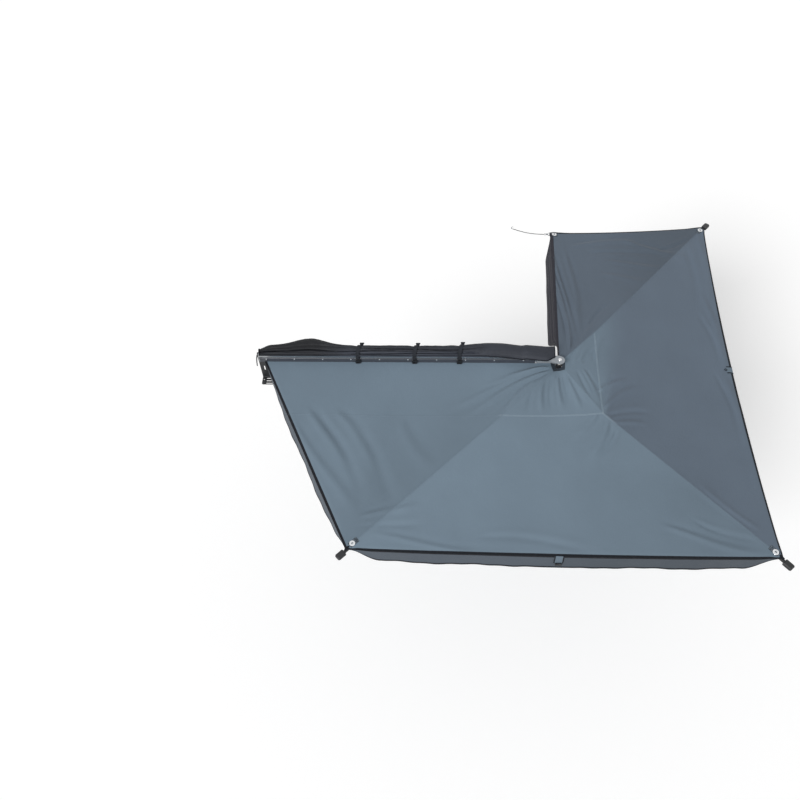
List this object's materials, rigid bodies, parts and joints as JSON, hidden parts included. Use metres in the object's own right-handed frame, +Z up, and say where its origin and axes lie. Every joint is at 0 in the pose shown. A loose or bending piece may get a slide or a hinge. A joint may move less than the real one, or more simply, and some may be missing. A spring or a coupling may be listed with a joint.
{
  "type": "vehicle side awning",
  "caption": "Free-standing awning that fans out from one hinge around a vehicle's rear corner, on telescoping arms, with a laid-back travel bag and slotted brackets.",
  "frame": {"origin": "middle of the back rail's rear face, half-way along the rail and at its mid height", "axes": "+X along the rail from the front bracket to the hinge head, +Y square to the rail's rear face towards the vehicle, +Z up"},
  "size_m": [3.4406, 3.0111, 0.4207],
  "materials": {
    "aluminium": "satin",
    "black_steel": "satin",
    "hinge_grey": "satin",
    "bright_steel": "polished",
    "nylon": "satin",
    "black_plastic": "satin",
    "webbing": "matt",
    "canopy": "matt",
    "bag_cloth": "matt",
    "cord": "matt"
  },
  "bodies": {
    "case": {"back_rail": "aluminium", "canopy_clamp_strip": "black_steel", "rail_end_cap": "black_plastic", "bracket_front": "black_steel", "bracket_rear": "black_steel", "hinge_base": "hinge_grey", "hinge_pin": "bright_steel", "hinge_nut": "bright_steel", "base_washer": "nylon", "pin_sleeve": "nylon", "travel_bag": "bag_cloth", "bag_strap_1": "webbing", "bag_strap_2": "webbing", "bag_strap_3": "webbing", "strap_buckle_1": "black_plastic", "strap_buckle_2": "black_plastic", "strap_buckle_3": "black_plastic", "canopy_front_panel": "canopy"},
    "arm_a": {"knuckle_a": "black_plastic", "bush_a": "nylon", "thrust_washer_a": "nylon", "outer_tube_a": "aluminium", "collar_a": "black_plastic", "canopy_near_panel": "canopy", "eyelet_a": "bright_steel", "corner_tab_a": "webbing"},
    "extension_a": {"extension_tube_a": "aluminium", "tip_cap_a": "black_plastic"},
    "clamp_lever_a": {"lever_a": "black_plastic"},
    "arm_b": {"knuckle_b": "black_plastic", "bush_b": "nylon", "thrust_washer_b": "nylon", "outer_tube_b": "aluminium", "collar_b": "black_plastic", "canopy_rear_panel": "canopy", "eyelet_b": "bright_steel", "corner_tab_b": "webbing"},
    "extension_b": {"extension_tube_b": "aluminium", "tip_cap_b": "black_plastic"},
    "clamp_lever_b": {"lever_b": "black_plastic"},
    "arm_c": {"knuckle_c": "black_plastic", "bush_c": "nylon", "outer_tube_c": "aluminium", "collar_c": "black_plastic", "canopy_far_panel": "canopy", "eyelet_c": "bright_steel", "corner_tab_c": "webbing"},
    "extension_c": {"extension_tube_c": "aluminium", "tip_cap_c": "black_plastic"},
    "clamp_lever_c": {"lever_c": "black_plastic"},
    "far_edge": {"far_edge_flap": "bag_cloth", "corner_tab_d": "webbing", "eyelet_d": "bright_steel"},
    "tether": {"snap_hook": "bright_steel", "tether_cord": "cord", "tether_end_hook": "bright_steel"},
    "hook_gate": {"snap_gate": "bright_steel"},
    "near_edge": {"edge_tab_near": "webbing"},
    "rear_edge": {"edge_tab_rear": "webbing"}
  },
  "joints": [
    {"name": "fold_a", "type": "hinge", "parent": "case", "child": "arm_a", "pos_m": [1.08, -0.064, 0], "axis": [0, 0, 1], "range_deg": [-43, 0], "deforming": ["canopy_front_panel"]},
    {"name": "fold_b", "type": "hinge", "parent": "arm_a", "child": "arm_b", "pos_m": [1.08, -0.064, 0], "axis": [0, 0, 1], "range_deg": [-86, 0], "deforming": ["canopy_near_panel"]},
    {"name": "fold_c", "type": "hinge", "parent": "arm_b", "child": "arm_c", "pos_m": [1.08, -0.064, 0], "axis": [0, 0, 1], "range_deg": [-96, 0], "deforming": ["canopy_rear_panel"]},
    {"name": "fold_edge", "type": "hinge", "parent": "arm_c", "child": "far_edge", "pos_m": [1.08, -0.064, 0], "axis": [0, 0, 1], "range_deg": [-36, 0], "deforming": ["canopy_far_panel", "far_edge_flap"]},
    {"name": "near_edge_fold", "type": "hinge", "parent": "arm_a", "child": "near_edge", "pos_m": [1.08, -0.064, 0], "axis": [0, 0, 1], "range_deg": [-41.7, 0], "deforming": ["edge_tab_near"]},
    {"name": "rear_edge_fold", "type": "hinge", "parent": "arm_b", "child": "rear_edge", "pos_m": [1.08, -0.064, 0], "axis": [0, 0, 1], "range_deg": [-50.4, 0], "deforming": ["edge_tab_rear"]},
    {"name": "extend_a", "type": "slide", "parent": "arm_a", "child": "extension_a", "axis": [-0.718, -0.6934, -0.061], "range_m": [-0.12, 0], "deforming": ["corner_tab_a"]},
    {"name": "clamp_a", "type": "hinge", "parent": "arm_a", "child": "clamp_lever_a", "pos_m": [-0.07438, -1.21214, -0.17657], "axis": [0.0439, 0.0424, -0.9981], "range_deg": [0, 110]},
    {"name": "extend_b", "type": "slide", "parent": "arm_b", "child": "extension_b", "axis": [0.6679, -0.7418, -0.061], "range_m": [-0.12, 0], "deforming": ["corner_tab_b"]},
    {"name": "clamp_b", "type": "hinge", "parent": "arm_b", "child": "clamp_lever_b", "pos_m": [2.18715, -1.25775, -0.14057], "axis": [-0.0408, 0.0454, -0.9981], "range_deg": [0, 110]},
    {"name": "extend_c", "type": "slide", "parent": "arm_c", "child": "extension_c", "axis": [0.6416, 0.7646, -0.061], "range_m": [-0.12, 0], "deforming": ["corner_tab_c"]},
    {"name": "clamp_c", "type": "hinge", "parent": "arm_c", "child": "clamp_lever_c", "pos_m": [2.10805, 1.19851, -0.10457], "axis": [-0.0392, -0.0468, -0.9981], "range_deg": [0, 110]},
    {"name": "tether_swing", "type": "hinge", "parent": "far_edge", "child": "tether", "pos_m": [1.15116, 1.31631, -0.0602], "axis": [0, 0, 1], "range_deg": [-75, 20]},
    {"name": "gate_open", "type": "hinge", "parent": "tether", "child": "hook_gate", "pos_m": [1.10423, 1.31385, -0.0419], "axis": [-0.0523, 0.9986, 0], "range_deg": [0, 16], "stiffness_Nm_per_rad": 0.03, "springref_deg": -11.46}
  ],
  "couplings": [
    {"joint": "fold_b", "follows": "fold_a", "ratio": 2},
    {"joint": "fold_c", "follows": "fold_a", "ratio": 2.2326},
    {"joint": "fold_edge", "follows": "fold_a", "ratio": 0.83721},
    {"joint": "near_edge_fold", "follows": "fold_a", "ratio": 0.96977},
    {"joint": "rear_edge_fold", "follows": "fold_a", "ratio": 1.1721}
  ]
}
